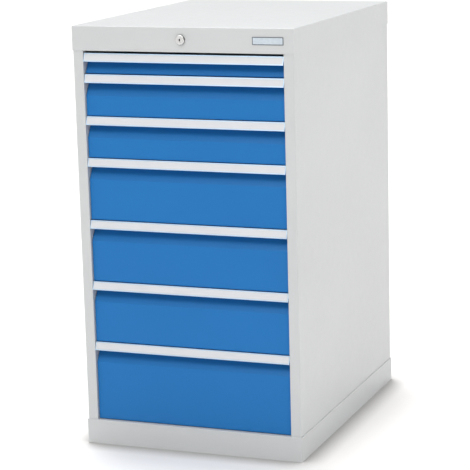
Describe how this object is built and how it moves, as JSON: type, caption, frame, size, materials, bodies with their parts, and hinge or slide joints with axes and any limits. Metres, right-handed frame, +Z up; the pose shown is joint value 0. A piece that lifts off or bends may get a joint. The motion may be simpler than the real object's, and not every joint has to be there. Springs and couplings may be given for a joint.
{
  "type": "drawer cabinet",
  "caption": "Floor-standing steel workshop cabinet with full-extension drawers of rising height, full-width grip strips, a plinth and a central key lock.",
  "frame": {"origin": "on the floor under the middle of the whole cabinet, lock included", "axes": "+Z up, +X to the right seen from the front, +Y to the back; the drawers open towards -Y"},
  "size_m": [0.555, 0.7416, 1.019],
  "materials": {
    "grey_paint": "satin powder coat",
    "blue_paint": "satin powder coat",
    "inner_grey_paint": "satin powder coat",
    "zinc_plated_steel": "bright zinc plate",
    "handle_aluminium": "satin anodised",
    "label_card": "matt card under clear film",
    "lock_nickel": "satin nickel",
    "plate": "smooth, bare"
  },
  "bodies": {
    "housing": {"base_plinth": "grey_paint", "floor_pan": "grey_paint", "left_side_wall": "grey_paint", "right_side_wall": "grey_paint", "rear_wall": "grey_paint", "rear_rivets": "zinc_plated_steel", "top_cover": "grey_paint", "cover_rim": "grey_paint", "front_top_rail": "grey_paint", "uprights": "zinc_plated_steel", "right_cabinet_rails": "zinc_plated_steel", "left_cabinet_rails": "zinc_plated_steel", "badge_plate": "plate", "lock_housing": "lock_nickel"},
    "key_plug": {"lock_plug": "lock_nickel", "lock_cam": "zinc_plated_steel"},
    "link": {"lock_link": "zinc_plated_steel"},
    "bar": {"locking_bar": "zinc_plated_steel"},
    "drawer_1": {"drawer_1_box": "inner_grey_paint", "drawer_1_front": "blue_paint", "drawer_1_handle": "handle_aluminium", "drawer_1_label": "label_card", "drawer_1_runners": "zinc_plated_steel"},
    "slides_1": {"drawer_1_slide_members": "zinc_plated_steel"},
    "drawer_2": {"drawer_2_box": "inner_grey_paint", "drawer_2_front": "blue_paint", "drawer_2_handle": "handle_aluminium", "drawer_2_label": "label_card", "drawer_2_runners": "zinc_plated_steel"},
    "slides_2": {"drawer_2_slide_members": "zinc_plated_steel"},
    "drawer_3": {"drawer_3_box": "inner_grey_paint", "drawer_3_front": "blue_paint", "drawer_3_handle": "handle_aluminium", "drawer_3_label": "label_card", "drawer_3_runners": "zinc_plated_steel"},
    "slides_3": {"drawer_3_slide_members": "zinc_plated_steel"},
    "drawer_4": {"drawer_4_box": "inner_grey_paint", "drawer_4_front": "blue_paint", "drawer_4_handle": "handle_aluminium", "drawer_4_label": "label_card", "drawer_4_runners": "zinc_plated_steel"},
    "slides_4": {"drawer_4_slide_members": "zinc_plated_steel"},
    "drawer_5": {"drawer_5_box": "inner_grey_paint", "drawer_5_front": "blue_paint", "drawer_5_handle": "handle_aluminium", "drawer_5_label": "label_card", "drawer_5_runners": "zinc_plated_steel"},
    "slides_5": {"drawer_5_slide_members": "zinc_plated_steel"},
    "drawer_6": {"drawer_6_box": "inner_grey_paint", "drawer_6_front": "blue_paint", "drawer_6_handle": "handle_aluminium", "drawer_6_label": "label_card", "drawer_6_runners": "zinc_plated_steel"},
    "slides_6": {"drawer_6_slide_members": "zinc_plated_steel"},
    "drawer_7": {"drawer_7_box": "inner_grey_paint", "drawer_7_front": "blue_paint", "drawer_7_handle": "handle_aluminium", "drawer_7_label": "label_card", "drawer_7_runners": "zinc_plated_steel"},
    "slides_7": {"drawer_7_slide_members": "zinc_plated_steel"}
  },
  "joints": [
    {"name": "key_turn", "type": "hinge", "parent": "housing", "child": "key_plug", "pos_m": [0, -0.36425, 0.99], "axis": [0, 1, 0], "range_deg": [0, 90]},
    {"name": "link_slide", "type": "slide", "parent": "housing", "child": "link", "axis": [-1, 0, 0], "range_m": [0, 0.01131]},
    {"name": "bar_lift", "type": "slide", "parent": "housing", "child": "bar", "axis": [0, 0, 1], "range_m": [0, 0.01131]},
    {"name": "drawer_1_slide", "type": "slide", "parent": "housing", "child": "drawer_1", "axis": [0, -1, 0], "range_m": [0, 0.6]},
    {"name": "drawer_1_members", "type": "slide", "parent": "housing", "child": "slides_1", "axis": [0, -1, 0], "range_m": [0, 0.3]},
    {"name": "drawer_2_slide", "type": "slide", "parent": "housing", "child": "drawer_2", "axis": [0, -1, 0], "range_m": [0, 0.6]},
    {"name": "drawer_2_members", "type": "slide", "parent": "housing", "child": "slides_2", "axis": [0, -1, 0], "range_m": [0, 0.3]},
    {"name": "drawer_3_slide", "type": "slide", "parent": "housing", "child": "drawer_3", "axis": [0, -1, 0], "range_m": [0, 0.6]},
    {"name": "drawer_3_members", "type": "slide", "parent": "housing", "child": "slides_3", "axis": [0, -1, 0], "range_m": [0, 0.3]},
    {"name": "drawer_4_slide", "type": "slide", "parent": "housing", "child": "drawer_4", "axis": [0, -1, 0], "range_m": [0, 0.6]},
    {"name": "drawer_4_members", "type": "slide", "parent": "housing", "child": "slides_4", "axis": [0, -1, 0], "range_m": [0, 0.3]},
    {"name": "drawer_5_slide", "type": "slide", "parent": "housing", "child": "drawer_5", "axis": [0, -1, 0], "range_m": [0, 0.6]},
    {"name": "drawer_5_members", "type": "slide", "parent": "housing", "child": "slides_5", "axis": [0, -1, 0], "range_m": [0, 0.3]},
    {"name": "drawer_6_slide", "type": "slide", "parent": "housing", "child": "drawer_6", "axis": [0, -1, 0], "range_m": [0, 0.6]},
    {"name": "drawer_6_members", "type": "slide", "parent": "housing", "child": "slides_6", "axis": [0, -1, 0], "range_m": [0, 0.3]},
    {"name": "drawer_7_slide", "type": "slide", "parent": "housing", "child": "drawer_7", "axis": [0, -1, 0], "range_m": [0, 0.6]},
    {"name": "drawer_7_members", "type": "slide", "parent": "housing", "child": "slides_7", "axis": [0, -1, 0], "range_m": [0, 0.3]}
  ],
  "couplings": [
    {"joint": "key_turn", "follows": "bar_lift", "rad_per_m": 138.84},
    {"joint": "link_slide", "follows": "bar_lift", "ratio": 1},
    {"joint": "drawer_1_members", "follows": "drawer_1_slide", "ratio": 0.5},
    {"joint": "drawer_2_members", "follows": "drawer_2_slide", "ratio": 0.5},
    {"joint": "drawer_3_members", "follows": "drawer_3_slide", "ratio": 0.5},
    {"joint": "drawer_4_members", "follows": "drawer_4_slide", "ratio": 0.5},
    {"joint": "drawer_5_members", "follows": "drawer_5_slide", "ratio": 0.5},
    {"joint": "drawer_6_members", "follows": "drawer_6_slide", "ratio": 0.5},
    {"joint": "drawer_7_members", "follows": "drawer_7_slide", "ratio": 0.5}
  ]
}
